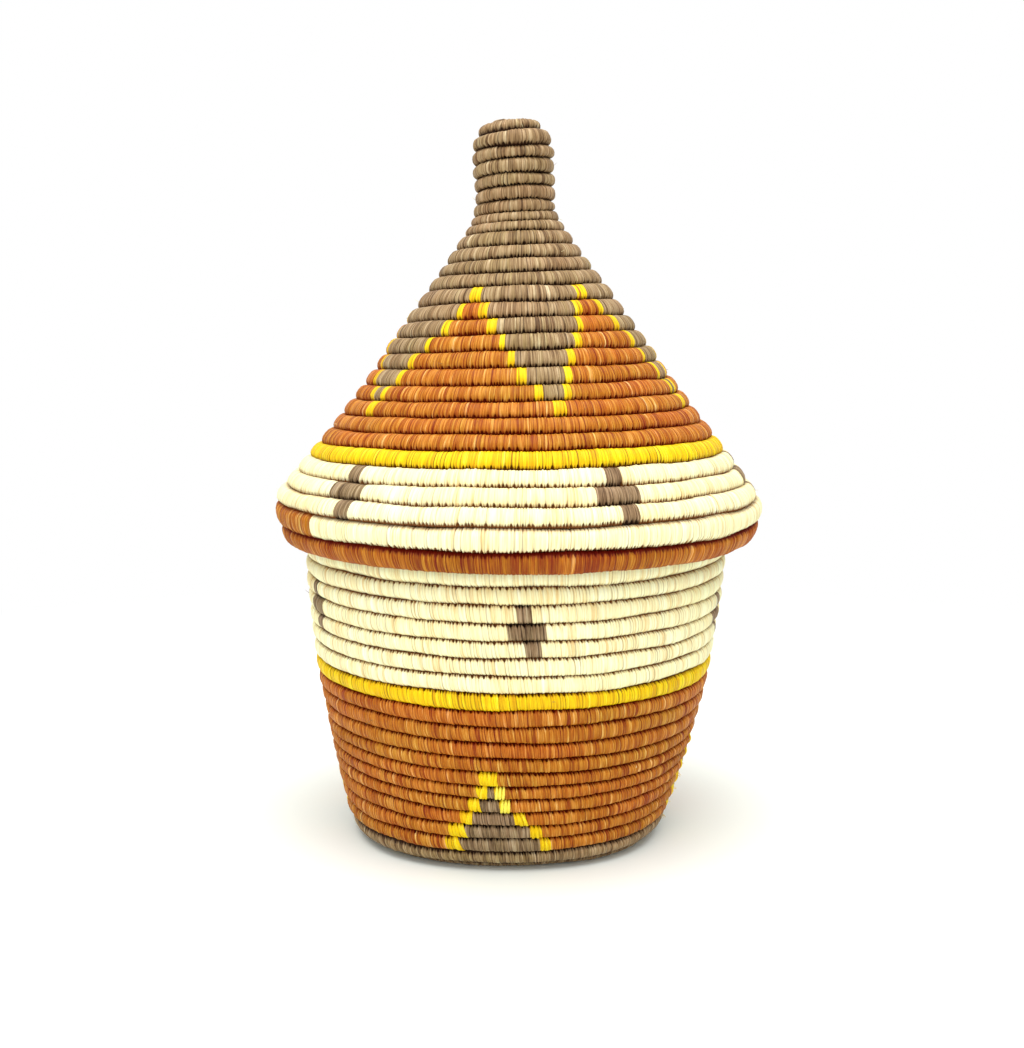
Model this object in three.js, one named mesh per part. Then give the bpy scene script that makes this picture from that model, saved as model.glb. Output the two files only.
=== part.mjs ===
// Lidded coiled basket, in millimetres, +Z up.
// The origin is the middle of the underside, on the surface that the basket stands on.
// The basket and its lid are each one long coil: a bundle of plant fibre wrapped in dyed raffia,
// wound in a rising spiral and stitched to the turn beside it. Every full turn is one mesh.

import * as THREE from 'three';

// Sizes of the coil
const coilThickness = 8;
const stitchGap = 0.3;
const flatCut = 0.5;
const facetsPerTurn = 20;

// Sizes of the basket
const footRadius = 78;
const footRounding = 6;
const bellyHeight = 97.4;
const rimRadius = 104.3;
const rimBandBottom = 147;
const baseStartRadius = 19;

// Sizes of the lid, whose brim, cone and knob make up the height of the whole
const knobHeight = 46;
const knobRadius = 19.8;
const knobRounding = 14;
const knobStartRadius = 6;
const neckRounding = 6;
const coneHeight = 145;
const coneSag = 1.2;
const coneEndDrop = 15;
const brimOverhang = 15.4;
const brimHeight = 163;
const brimRounding = 9;
const hemDrop = 19;
const seatGap = 0.5;

// Rows in each stretch of a coil, and how wide a row is there as a share of its usual row
const basketRowShares = [[6.5, 1.02], [8, 0.84], [10, 1], [4.5, 1.09]];
const lidRowShares = [[7.5, 0.68], [2, 0.62], [4, 0.855], [14, 1], [2.25, 1.17]];
const baseRowCount = 6;
const lidRowCount = 29;

// How thin the coil may get at its end, and where in its last turn the hem's coil starts to thin out
const coilEndShare = 0.15;
const hemTaperShares = { from: 0.75, end: 0.3 };
const untaperedShares = { from: 1, end: 1 };

// Raffia colours
const taupeColour = 0x7f7266;
const orangeColour = 0xb5651d;
const yellowColour = 0xf2c618;
const creamColour = 0xeee3b8;

// Bands of colour and their rows, from where the coil starts. A patterned row has its main colour.
const wallBandColours = [taupeColour, orangeColour, yellowColour, creamColour];
const wallBandRowCounts = [1, 10, 1, 11];
const lidBandColours = [taupeColour, orangeColour, yellowColour, creamColour, orangeColour];
const lidBandRowCounts = [17, 6, 1, 4, 1];

const halfCoil = coilThickness / 2;
const sideOffset = coilThickness / 4;

// Outline of the lid along the middle of its coil, from the top of the knob to the hem, which draws in
// until it would lie against the basket's wall
function lidOutline() {
  const neckHeight = brimHeight + coneHeight;
  const top = neckHeight + knobHeight - halfCoil;
  const knob = knobRadius - halfCoil;
  const brim = rimRadius + brimOverhang - halfCoil;
  const hemEnd = rimRadius + halfCoil;
  const coneEnd = new THREE.Vector2(brim - brimRounding / 3, brimHeight + brimRounding);
  const neck = new THREE.Vector2(knob, neckHeight - halfCoil / 2);
  const slope = coneEnd.clone().sub(neck).normalize();
  const inward = new THREE.Vector2(slope.y, -slope.x);
  const coneStart = neck.clone().addScaledVector(slope, neckRounding);
  const sag = coneStart.clone().add(coneEnd).multiplyScalar(1 / 2).addScaledVector(inward, 2 * coneSag);
  const brimCorner = new THREE.Vector2(brim, brimHeight + coneEndDrop / 3);
  const outline = new THREE.Path();
  outline.moveTo(0, top);
  outline.lineTo(knob - knobRounding, top);
  outline.quadraticCurveTo(knob, top, knob, top - knobRounding);
  outline.lineTo(knob, neck.y + neckRounding);
  outline.quadraticCurveTo(neck.x, neck.y, coneStart.x, coneStart.y);
  outline.quadraticCurveTo(sag.x, sag.y, coneEnd.x, coneEnd.y);
  outline.quadraticCurveTo(brimCorner.x, brimCorner.y, brim, brimHeight);
  outline.quadraticCurveTo(brim, brimHeight - hemDrop / 2, hemEnd, brimHeight - hemDrop);
  return outline;
}

// Outline of the basket along the middle of its coil, from the middle of the base to the rim. The wall
// flares from the foot and turns upright, round the corner that these two lines make at bellyHeight.
function basketOutline(rimTop) {
  const floor = halfCoil - flatCut;
  const foot = footRadius - halfCoil;
  const rim = rimRadius - halfCoil;
  const wallDirection = new THREE.Vector2(rim - foot, bellyHeight - floor).normalize();
  const wallStart = new THREE.Vector2(foot, floor).addScaledVector(wallDirection, footRounding);
  const outline = new THREE.Path();
  outline.moveTo(0, floor);
  outline.lineTo(foot - footRounding, floor);
  outline.quadraticCurveTo(foot, floor, wallStart.x, wallStart.y);
  outline.quadraticCurveTo(rim, bellyHeight, rim, rimBandBottom);
  outline.lineTo(rim, rimTop);
  return outline;
}

// A wall made by laying the turns of a coil side by side along an outline.
// side is 1 where the outside lies to the right of the outline's direction, and -1 to the left.
class CoiledWall {
  constructor(outline, startRadius, rowShares, side) {
    this.outline = outline;
    this.length = outline.getLength();
    this.startRadius = startRadius;
    this.rowShares = rowShares;
    this.side = side;
    const total = rowShares.reduce((sum, [rows, widthShare]) => sum + rows * widthShare, 0);
    this.rowWidth = (this.length - startRadius) / total;
  }

  // Distance along the outline after this many turns, which may run on past its end
  distance(turns) {
    let distance = this.startRadius;
    let left = turns;
    this.rowShares.forEach(([rows, widthShare], stretch) => {
      const laid = stretch === this.rowShares.length - 1 ? left : Math.min(left, rows);
      distance += laid * widthShare * this.rowWidth;
      left -= laid;
    });
    return distance;
  }

  // Radius and height at a distance along the outline, offset towards the outside
  point(distance, offset) {
    const share = Math.min(distance / this.length, 1);
    const place = this.outline.getPoint(share);
    const along = this.outline.getTangent(share);
    const outward = new THREE.Vector2(along.y, -along.x).multiplyScalar(this.side * offset);
    return place.add(outward);
  }
}

// A point of a wall turned about the axis. Turns start at the back, away from the pattern's front.
function turned(place, wall, turnShare, nudge) {
  const angle = Math.PI / 2 + wall.side * (2 * Math.PI * turnShare + nudge);
  return [place.x * Math.cos(angle), place.x * Math.sin(angle), place.y];
}

function closedMesh(name, vertices, triangles, colour) {
  const geometry = new THREE.BufferGeometry();
  geometry.setAttribute('position', new THREE.Float32BufferAttribute(vertices.flat(), 3));
  geometry.setIndex(triangles.flat());
  geometry.computeVertexNormals();
  const raffia = new THREE.MeshStandardMaterial({ color: colour, roughness: 0.6, metalness: 0 });
  const mesh = new THREE.Mesh(geometry, raffia);
  mesh.name = name;
  return mesh;
}

// One full turn of the coil, crowned outside and inside, with a stitch gap to the turns beside it.
// It thins out where it reaches the end of the wall, or where taper says so, and flat cuts its
// outer crown for standing on.
function coilRow(name, wall, row, colour, { taper = untaperedShares, flat = false } = {}) {
  const vertices = [];
  const triangles = [];
  for (let step = 0; step <= facetsPerTurn; step += 1) {
    const turnShare = step / facetsPerTurn;
    const start = wall.distance(row + turnShare);
    const width = wall.distance(row + turnShare + 1) - start;
    const roomShare = Math.min((wall.length - start) / width, 1);
    const taperedShare = turnShare > taper.from ? (turnShare - taper.from) / (1 - taper.from) : 0;
    const thickShare = Math.max(Math.min(roomShare, 1 - taperedShare * (1 - taper.end)), coilEndShare);
    const near = start + stitchGap / 2;
    const far = start + width * thickShare - stitchGap / 2;
    const middle = (near + far) / 2;
    const crown = sideOffset * (1 + thickShare);
    const flatHalf = flatCut / sideOffset * (far - near) / 2;
    const outer = flat
      ? [[middle - flatHalf, crown - flatCut], [middle + flatHalf, crown - flatCut]]
      : [[middle, crown]];
    const section = [[near, -sideOffset], [near, sideOffset], ...outer,
      [far, sideOffset], [far, -sideOffset], [middle, -crown]];
    const nudge = step === 0 ? stitchGap / wall.point(middle, 0).x : 0;
    const base = vertices.length;
    const count = section.length;
    for (const [distance, offset] of section) {
      vertices.push(turned(wall.point(distance, offset), wall, turnShare, nudge));
    }
    for (let side = 0; side < count && step > 0; side += 1) {
      const next = (side + 1) % count;
      const before = base - count;
      triangles.push([before + side, base + side, base + next]);
      triangles.push([before + side, base + next, before + next]);
    }
    for (let corner = 1; corner < count - 1; corner += 1) {
      if (step === 0) triangles.push([base, base + corner, base + corner + 1]);
      if (step === facetsPerTurn) triangles.push([base, base + corner + 1, base + corner]);
    }
  }
  return closedMesh(name, vertices, triangles, colour);
}

// The tight first turns in the middle, sewn into one flat button whose edge is the start of the spiral
function coilStart(name, wall, colour) {
  const faceOffset = halfCoil - flatCut;
  const vertices = [];
  const triangles = [];
  vertices.push(turned(wall.point(0, faceOffset), wall, 0, 0));
  vertices.push(turned(wall.point(0, -faceOffset), wall, 0, 0));
  for (let step = 0; step <= facetsPerTurn; step += 1) {
    const turnShare = step / facetsPerTurn;
    const edge = wall.distance(turnShare) - stitchGap / 2;
    vertices.push(turned(wall.point(edge, faceOffset), wall, turnShare, 0));
    vertices.push(turned(wall.point(edge, -faceOffset), wall, turnShare, 0));
  }
  const [outerMiddle, innerMiddle, firstOuter, firstInner] = [0, 1, 2, 3];
  const outer = (step) => firstOuter + 2 * step;
  const inner = (step) => firstInner + 2 * step;
  for (let step = 1; step <= facetsPerTurn; step += 1) {
    const last = step === facetsPerTurn;
    triangles.push([outerMiddle, last ? outer(0) : outer(step), outer(step - 1)]);
    triangles.push([innerMiddle, inner(step - 1), last ? inner(0) : inner(step)]);
    triangles.push([outer(step - 1), inner(step), inner(step - 1)]);
    triangles.push([outer(step - 1), outer(step), inner(step)]);
  }
  const end = facetsPerTurn;
  triangles.push([outer(0), outer(end), outer(end - 1)]);
  triangles.push([inner(0), inner(end - 1), inner(end)]);
  triangles.push([outer(0), inner(end), outer(end)]);
  triangles.push([outer(0), inner(0), inner(end)]);
  return closedMesh(name, vertices, triangles, colour);
}

const lidWall = new CoiledWall(lidOutline(), knobStartRadius, lidRowShares, -1);

// The rim of the basket stops just short of the inside of the lid's cone, which rests on it
function rimSeatHeight() {
  const corner = rimRadius - halfCoil + sideOffset;
  let above = lidWall.distance(lidRowShares[0][0]);
  let below = lidWall.distance(lidRowCount - 2);
  while (below - above > stitchGap / facetsPerTurn) {
    const middle = (above + below) / 2;
    if (lidWall.point(middle, -halfCoil).x < corner) above = middle;
    else below = middle;
  }
  return lidWall.point(above, -halfCoil).y - seatGap;
}

const basketWall = new CoiledWall(basketOutline(rimSeatHeight()), baseStartRadius, basketRowShares, 1);

const twoDigits = (number) => String(number).padStart(2, '0');
const rowColours = (colours, rowCounts) => colours.flatMap((colour, band) => Array(rowCounts[band]).fill(colour));

function basket() {
  const group = new THREE.Group();
  group.add(coilStart('base_start', basketWall, taupeColour));
  for (let row = 0; row < baseRowCount; row += 1) {
    group.add(coilRow(`base_row_${twoDigits(row + 1)}`, basketWall, row, taupeColour, { flat: true }));
  }
  rowColours(wallBandColours, wallBandRowCounts).forEach((colour, index) => {
    const row = baseRowCount + index;
    group.add(coilRow(`wall_row_${twoDigits(index + 1)}`, basketWall, row, colour, { flat: index === 0 }));
  });
  return group;
}

function lid() {
  const group = new THREE.Group();
  group.add(coilStart('lid_start', lidWall, taupeColour));
  rowColours(lidBandColours, lidBandRowCounts).forEach((colour, index) => {
    const taper = index === lidRowCount - 1 ? hemTaperShares : untaperedShares;
    group.add(coilRow(`lid_row_${twoDigits(index + 1)}`, lidWall, index, colour, { taper }));
  });
  return group;
}

const liddedBasket = new THREE.Group();
liddedBasket.add(basket(), lid());

export default liddedBasket;
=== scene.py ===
import math
from functools import partial

import bpy
import numpy as np
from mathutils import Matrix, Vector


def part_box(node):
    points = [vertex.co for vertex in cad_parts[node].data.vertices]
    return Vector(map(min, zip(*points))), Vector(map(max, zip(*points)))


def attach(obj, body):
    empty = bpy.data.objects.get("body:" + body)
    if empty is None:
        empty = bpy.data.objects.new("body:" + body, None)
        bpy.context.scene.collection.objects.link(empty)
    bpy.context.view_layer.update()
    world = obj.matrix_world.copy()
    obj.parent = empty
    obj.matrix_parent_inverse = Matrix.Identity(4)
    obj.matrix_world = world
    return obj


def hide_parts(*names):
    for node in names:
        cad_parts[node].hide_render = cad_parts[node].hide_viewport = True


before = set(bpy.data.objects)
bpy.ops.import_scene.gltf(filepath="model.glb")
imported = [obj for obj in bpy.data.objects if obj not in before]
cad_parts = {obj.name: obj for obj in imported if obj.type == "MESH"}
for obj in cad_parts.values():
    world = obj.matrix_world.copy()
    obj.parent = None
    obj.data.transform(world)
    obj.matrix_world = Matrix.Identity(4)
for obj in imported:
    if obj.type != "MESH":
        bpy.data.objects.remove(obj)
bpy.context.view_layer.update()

# Sizes are in metres, unless the name says otherwise
MM = 0.001

# The camera, fitted to the lines of the rows in the photograph
IMAGE_HEIGHT_PX = 1048
FOCAL_PX = 1512
SENSOR_MM = 36
CAMERA_DISTANCE = 0.750
CAMERA_HEIGHT = 0.243
CAMERA_PITCH_DEG = 6.90


def make_camera():
    data = bpy.data.cameras.new("camera")
    data.sensor_width = SENSOR_MM
    data.lens = SENSOR_MM * FOCAL_PX / IMAGE_HEIGHT_PX
    camera = bpy.data.objects.new("camera", data)
    bpy.context.scene.collection.objects.link(camera)
    camera.location = (0, -CAMERA_DISTANCE, CAMERA_HEIGHT)
    camera.rotation_euler = (math.radians(90 - CAMERA_PITCH_DEG), 0, 0)
    bpy.context.scene.camera = camera
    bpy.context.scene.view_settings.view_transform = "Standard"


def smooth(low, high, value):
    """0 below low, 1 above high, and an even curve between them."""
    share = np.clip((value - low) / (high - low), 0, 1)
    return share * share * (3 - 2 * share)


# A wander has some knots past its end, and never goes further than this many times its usual amount
SPARE_KNOTS = 4
WANDER_LIMIT = 2


class Wander:
    """A slow random drift along a length, the same each time for a seed."""

    def __init__(self, length, spacing, amount, seed):
        self.spacing = spacing
        count = int(length / spacing) + SPARE_KNOTS
        limit = WANDER_LIMIT * amount
        self.values = np.random.default_rng(seed).normal(0, amount, count).clip(-limit, limit)

    def strengthen(self, length, factor):
        self.values[:int(length / self.spacing)] *= factor

    def at(self, length):
        place = np.maximum(np.asarray(length) / self.spacing, 0)
        knot = np.minimum(place.astype(int), len(self.values) - 2)
        share = smooth(0, 1, place - knot)
        return self.values[knot] * (1 - share) + self.values[knot + 1] * share


# The path of a coil, read from the CAD turns, which start at the back and stand a gap apart
BACK = math.pi / 2
FACETS_PER_TURN = 20
STITCH_GAP = 0.3 * MM
MATCH_DECIMALS = 6
INNERMOST_RADIUS = 1.6 * MM
# The columns of a path's table: its middle, the direction across the rows and the half sizes
RADIUS, HEIGHT, ACROSS_R, ACROSS_Z, HALF_WIDTH, HALF_THICK = range(6)


def node_sections(name, side):
    """The corner points of each cross-section of a CAD turn, as radius and height, in winding order."""
    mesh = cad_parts[name].data
    points = np.zeros(len(mesh.vertices) * 3)
    mesh.vertices.foreach_get("co", points)
    points = points.reshape(-1, 3)
    radius = np.hypot(points[:, 0], points[:, 1])
    wound = (np.arctan2(points[:, 1], points[:, 0]) - BACK) * side % (2 * math.pi)
    step = 2 * math.pi / FACETS_PER_TURN
    index = np.rint(wound / step).astype(int)
    # The first section stands a gap away from the seam, and the last one stands on it
    at_seam = index % FACETS_PER_TURN == 0
    starting = at_seam & (wound < step) & (wound * radius > STITCH_GAP / 2)
    index[at_seam] = FACETS_PER_TURN
    index[starting] = 0
    flat = np.round(np.column_stack([radius, points[:, 2]]), MATCH_DECIMALS)
    return [np.unique(flat[index == i], axis=0) for i in range(FACETS_PER_TURN + 1)]


def table_row(points, roughly_across, side):
    """The table's values for one cross-section. The rows lie edge to edge along the line across them."""
    order = np.argsort(points @ roughly_across)
    near = points[order[:2]].mean(0)
    far = points[order[-2:]].mean(0)
    half = np.linalg.norm(far - near) / 2
    across = (far - near) / (2 * half)
    outward = side * np.array([across[1], -across[0]])
    reach = (points - (near + far) / 2) @ outward
    middle = (near + far) / 2 + outward * (reach.max() + reach.min()) / 2
    return [*middle, *across, half + STITCH_GAP / 2, (reach.max() - reach.min()) / 2]


class CoilPath:
    """Where a coil runs, by turns from its start."""

    def __init__(self, start_node, row_nodes, side):
        self.side = side
        sections = []
        for name in row_nodes:
            sections += node_sections(name, side)[:FACETS_PER_TURN]
        sections.append(node_sections(row_nodes[-1], side)[FACETS_PER_TURN])
        middles = np.array([points.mean(0) for points in sections])
        place = np.arange(len(sections))
        row_after = middles[np.minimum(place + FACETS_PER_TURN, place[-1])]
        row_before = middles[np.maximum(place - FACETS_PER_TURN, 0)]
        table = [table_row(*values, side) for values in zip(sections, row_after - row_before)]
        self.turns, self.table = self.with_start(start_node, place / FACETS_PER_TURN, np.array(table))
        radius = self.table[:, RADIUS]
        around = 2 * math.pi * (radius[1:] + radius[:-1]) / 2 * np.diff(self.turns)
        self.lengths = np.concatenate([[0], np.cumsum(around)])

    def with_start(self, start_node, turns, table):
        """The path with its first turns added, a flat spiral from the middle out to the first row."""
        low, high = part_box(start_node)
        radius, height, *_, half_width, half_thick = table[0]
        pitch = 2 * half_width
        middle_height = low.z + half_thick if self.side > 0 else high.z - half_thick
        count = int(FACETS_PER_TURN * (radius - INNERMOST_RADIUS) / pitch)
        added_turns = -np.arange(count, 0, -1) / FACETS_PER_TURN
        added = np.repeat(table[:1], count, axis=0)
        added[:, RADIUS] = radius + pitch * added_turns
        share = added[:, RADIUS] / radius
        added[:, HEIGHT] = middle_height + (height - middle_height) * share ** 2
        slope = 2 * (height - middle_height) * share / radius
        added[:, ACROSS_R] = 1 / np.hypot(1, slope)
        added[:, ACROSS_Z] = slope / np.hypot(1, slope)
        return np.concatenate([added_turns, turns]), np.concatenate([added, table])

    def at(self, turns):
        """The values of each of the table's columns."""
        return [np.interp(turns, self.turns, column) for column in self.table.T]

    def outer_radius(self, turns):
        values = self.at(turns)
        return values[RADIUS] + values[HALF_THICK]

    def length(self, turns):
        return np.interp(turns, self.turns, self.lengths)


def azimuths(turns, side):
    """Azimuth in degrees of a place on the coil, from -180 to 180, 0 at the front."""
    return (turns * 360 % 360 - 180) * side


# How the whole basket stands, from the photograph: each row's middle drifts sideways with height, the
# rows tilt down to the right or left and dip at the front, and the upper ones sit a little low
DRIFT_HEIGHTS = np.array([0, 20, 80, 140, 157, 200, 240, 270, 287, 300, 320, 340, 354]) * MM
DRIFTS = np.array([-2.6, -2.1, 0.4, 1.9, 3.2, 3.7, 3.4, 3.0, 2.3, 2.2, 1.2, 0.2, 0]) * MM
TILT_HEIGHTS = np.array([0, 34, 55, 75, 104, 157, 206, 267, 354]) * MM
TILTS_DEG = (0, 1.8, 1.8, 1.3, 0.8, 0.9, -0.1, -0.6, -0.6)
DIP_HEIGHTS = np.array([0, 34, 55, 75, 104, 157, 173, 200, 228, 250, 267, 354]) * MM
DIPS_DEG = (0, 2.6, 1.2, 0.6, 1.7, 1.6, 1.1, -0.4, 0.4, -0.5, -0.1, -0.1)
SAG_HEIGHTS = np.array([0, 6, 28, 36, 55, 78, 104, 157, 173, 206, 250, 354]) * MM
SAGS = np.array([0.2, -0.1, -3.4, -3.8, -1.9, -0.5, -2, -1.4, 0.9, 2.9, 4, 3.7]) * MM
# Where the basket is wider than its even form, as a factor
SPREAD_HEIGHTS = np.array([0, 12, 50, 70, 88, 104, 235, 248, 263, 278, 290]) * MM
SPREADS = (1.008, 1.015, 1.013, 1.008, 1.007, 1, 1, 1.016, 1.018, 1.006, 1)
# The foot is slightly square, and curls up from the floor on its outer side
FOOT_CORNERS = 4
FOOT_SQUARENESS = 0.02
SQUARE_HEIGHT = 24 * MM
FOOT_CURL = 0.4 * MM
FOOT_CURL_RADII = (54 * MM, 64 * MM)
FOOT_HEIGHT = 9 * MM


def settle(points):
    """Moves points as the handmade shape bulges, leans, tilts, dips in front and sags."""
    x, y, z = points[..., 0], points[..., 1], points[..., 2]
    corners = -np.cos(FOOT_CORNERS * np.arctan2(y, x))
    squareness = FOOT_SQUARENESS * corners * np.clip(1 - z / SQUARE_HEIGHT, 0, 1)
    spread = np.interp(z, SPREAD_HEIGHTS, SPREADS) + squareness
    x, y = x * spread, y * spread
    drift = np.interp(z, DRIFT_HEIGHTS, DRIFTS)
    tilt = np.radians(np.interp(z, TILT_HEIGHTS, TILTS_DEG))
    dip = np.radians(np.interp(z, DIP_HEIGHTS, DIPS_DEG))
    sag = np.interp(z, SAG_HEIGHTS, SAGS)
    curl = FOOT_CURL * smooth(*FOOT_CURL_RADII, np.hypot(x, y)) * np.clip(1 - z / FOOT_HEIGHT, 0, 1)
    return np.stack([x + drift, y, z - x * tilt + np.minimum(y, 0) * dip - sag + curl], axis=-1)


# The pattern. Azimuths are in degrees, 0 at the front and positive to the right. Rows count from the
# foot on the wall, and from the top on the lid.
TAUPE, ORANGE, YELLOW, CREAM, UMBER = range(5)
LID_BANDS = [TAUPE] * 21 + [ORANGE] * 2 + [YELLOW] + [CREAM] * 4 + [ORANGE]
WALL_BANDS = [TAUPE] + [ORANGE] * 10 + [YELLOW] + [CREAM] * 11
# The hem's orange starts in the turn before it
HEM_COLOUR_START_DEG = -52.5

# Mountains on the lid, with taupe tips pointing down between them
MOUNTAIN_FIRST_ROW = 14
MOUNTAIN_TIPS = (-54.7, 12.3, 70.2, 129, 188, 246, 305.3)
MOUNTAIN_APEXES = (-25.1, 38.0, 99, 158, 216, 270)
MOUNTAIN_TIP_WIDTH = 6 * MM
MOUNTAIN_OUTLINE_WIDTH = 4.0 * MM
# How far each row of a mountain reaches from its apex to its tip, on its left and its right side
HIDDEN_SHARES = (0.12, 0.31, 0.44, 0.58, 0.71, 0.82, 0.95)
MOUNTAIN_SHARES = (
    ((0.10, 0.27, 0.43, 0.63, 0.78, 0.87, 0.98), (0.08, 0.25, 0.375, 0.53, 0.62, 0.73, 0.88)),
    ((0.12, 0.31, 0.43, 0.57, 0.74, 0.85, 0.92), (0.20, 0.39, 0.54, 0.70, 0.78, 0.89, 0.97)),
    (HIDDEN_SHARES, HIDDEN_SHARES),
    (HIDDEN_SHARES, HIDDEN_SHARES),
    (HIDDEN_SHARES, HIDDEN_SHARES),
    (HIDDEN_SHARES, (0.06, 0.14, 0.24, 0.34, 0.54, 0.69, 0.90)),
)
MOUNTAIN_ROWS = len(HIDDEN_SHARES)

# Crosses, three rows high: the row of each bar, half its width and where the bars are in the middle
LID_CROSS_BARS = (
    (25, 3.9 * MM, (-43.3, 22.6, 82, 140, 199, 258)),
    (26, 10.9 * MM, (-43.8, 22.4, 80, 140, 199, 258)),
    (27, 4.3 * MM, (-42.1, 24.3, 82, 142, 201, 260)),
)
WALL_CROSS_BARS = (
    (17, 3.2 * MM, (-67.7, 2.3, 219.4)),
    (16, 8.7 * MM, (-66.7, 3.0, 220.4)),
    (15, 3.9 * MM, (-66.0, 4.4, 221.4)),
    (16, 3.2 * MM, (73.0, 146.8)),
    (15, 8.7 * MM, (74.5, 147.4)),
    (14, 3.9 * MM, (78.2, 148.8)),
)

# Triangles on the wall: how far each row reaches to the left and the right of the apex. The one at the
# right has a steeper left side with more yellow.
TRIANGLE_APEXES = (-5.3, 172, 262)
TRIANGLE_LEFTS = {7: 5.2 * MM, 6: 6.6 * MM, 5: 10.2 * MM, 4: 13.8 * MM, 3: 18.8 * MM, 2: 21.3 * MM}
TRIANGLE_RIGHTS = {7: 2.4 * MM, 6: 6.2 * MM, 5: 8.7 * MM, 4: 15.8 * MM, 3: 23.2 * MM, 2: 27.6 * MM}
TRIANGLE_OUTLINE_WIDTH = 4.7 * MM
STEEP_APEXES = (80.5,)
STEEP_LEFTS = {7: 6 * MM, 6: 7.5 * MM, 5: 8.5 * MM, 4: 9 * MM, 3: 9.5 * MM, 2: 10.5 * MM}
STEEP_OUTLINE_WIDTH = 7.5 * MM
TRIANGLES = (
    (TRIANGLE_APEXES, TRIANGLE_LEFTS, TRIANGLE_OUTLINE_WIDTH),
    (STEEP_APEXES, STEEP_LEFTS, STEEP_OUTLINE_WIDTH),
)


def nearest_offset(azimuth, centres):
    """Signed distance in degrees to the nearest of the centres."""
    offsets = (azimuth[:, None] - np.array(centres)[None, :] + 180) % 360 - 180
    return offsets[np.arange(len(azimuth)), np.abs(offsets).argmin(axis=1)]


def add_crosses(colours, row, azimuth, radius, bars):
    for bar_row, half_width, centres in bars:
        if bar_row == row:
            colours[np.abs(np.radians(nearest_offset(azimuth, centres))) * radius < half_width] = UMBER


def mountain_colours(level, azimuth, radius):
    """Orange mountains outlined in yellow, with taupe between them that ends in yellow tips."""
    colours = np.full(len(azimuth), TAUPE)
    turned = (azimuth - MOUNTAIN_TIPS[0]) % 360 + MOUNTAIN_TIPS[0]
    for i, apex in enumerate(MOUNTAIN_APEXES):
        for side, tip in enumerate(MOUNTAIN_TIPS[i:i + 2]):
            away = (apex - turned) if side == 0 else (turned - apex)
            reach = abs(tip - apex)
            on_side = (away >= 0) & (away <= reach)
            if level == MOUNTAIN_ROWS:
                edge = reach
                outline = math.degrees(MOUNTAIN_TIP_WIDTH / 2 / radius.mean())
            else:
                edge = reach * MOUNTAIN_SHARES[i][side][level]
                outline = math.degrees(MOUNTAIN_OUTLINE_WIDTH / radius.mean())
            colours[on_side & (away < edge)] = YELLOW
            colours[on_side & (away < edge - outline)] = ORANGE
    return colours


def lid_colours(row, azimuth, radius):
    level = row - MOUNTAIN_FIRST_ROW
    if 0 <= level <= MOUNTAIN_ROWS:
        colours = mountain_colours(level, azimuth, radius)
    else:
        colours = np.full(len(azimuth), LID_BANDS[row - 1])
    add_crosses(colours, row, azimuth, radius, LID_CROSS_BARS)
    if row == len(LID_BANDS) - 1:
        colours[azimuth < HEM_COLOUR_START_DEG] = ORANGE
    return colours


def wall_colours(row, azimuth, radius):
    colours = np.full(len(azimuth), WALL_BANDS[row - 1])
    add_crosses(colours, row, azimuth, radius, WALL_CROSS_BARS)
    for apexes, lefts, left_outline in TRIANGLES:
        if row in lefts:
            offset = np.radians(nearest_offset(azimuth, apexes)) * radius
            left, right = -lefts[row], TRIANGLE_RIGHTS[row]
            colours[(offset > left) & (offset < right)] = YELLOW
            inside = (offset > left + left_outline) & (offset < right - TRIANGLE_OUTLINE_WIDTH)
            colours[inside] = UMBER
    return colours


def all_taupe(azimuth, radius):
    return np.full(len(azimuth), TAUPE)


# The section of a stitched row: places round it in degrees, where 0 faces the next row, 90 outwards and
# 180 the row before. It is a little squarer than an ellipse.
RING_ANGLES = np.radians([-8, 5, 17, 31, 49, 69, 90, 111, 131, 149, 164, 177, 190, 206, 226, 248, 270,
                          292, 314, 334])
SECTION_POWER = 0.80
ACROSS = np.cos(RING_ANGLES)
OUTWARD = np.sin(RING_ANGLES)
UNIT_ACROSS = np.sign(ACROSS) * np.abs(ACROSS) ** SECTION_POWER
UNIT_OUTWARD = np.sign(OUTWARD) * np.abs(OUTWARD) ** SECTION_POWER
ROW_OVERLAP = 1.02

# Each stitch has four rings, from the gap where it starts over its proud middle towards the next gap
STITCH_WIDTH = 1.4 * MM
WIDTH_SHARES = (0.72, 1.3)
FEWEST_STITCHES = 6
TURN_SAMPLES = 200
RING_SHARES = np.array([0, 0.2, 0.5, 0.8])
RING_RELIEFS = np.array([0, 0.72, 1, 0.72])
MIDDLE_SHARE = 0.5
# How much the stitches differ in height, lean and bow
PROUD_SPREAD = 0.09 * MM
SLANT_SPREAD = 0.13 * MM
BOW_SPREAD = 0.10 * MM
# Nearer the middle of the coil than this, the lean grows no more
SKEW_RADIUS = 4 * MM
# Depths of the gaps between stitches, of the holes where they are sewn down, and of the notches between
GAP_DEPTHS_MM = (0.06, 0.26)
HOLE_DEPTHS_MM = (0.8, 2.2)
NOTCH_DEPTHS_MM = (0.1, 0.5)
STITCHES_PER_HOLE = 2
ODD_HOLE_SHARE = 0.12
# Stitches narrow where they are sewn down and lean away from the holes, and reach over the row on the
# other side by their tips
HOLE_PULL = 0.2
NARROWING = 0.35
TIP_LENGTH = 0.35 * MM
# No section is taken as thinner than this, or made smaller than this share of its size
THINNEST = 0.05 * MM
LEAST_SCALE = 0.3
# Where round the section a stitch narrows, is notched and ends in its tip
SEWN_REACH = (0.55, 0.95)
NOTCH_REACH = (0.05, 0.28)
FREE_REACH = (0.8, 1.0)

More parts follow.
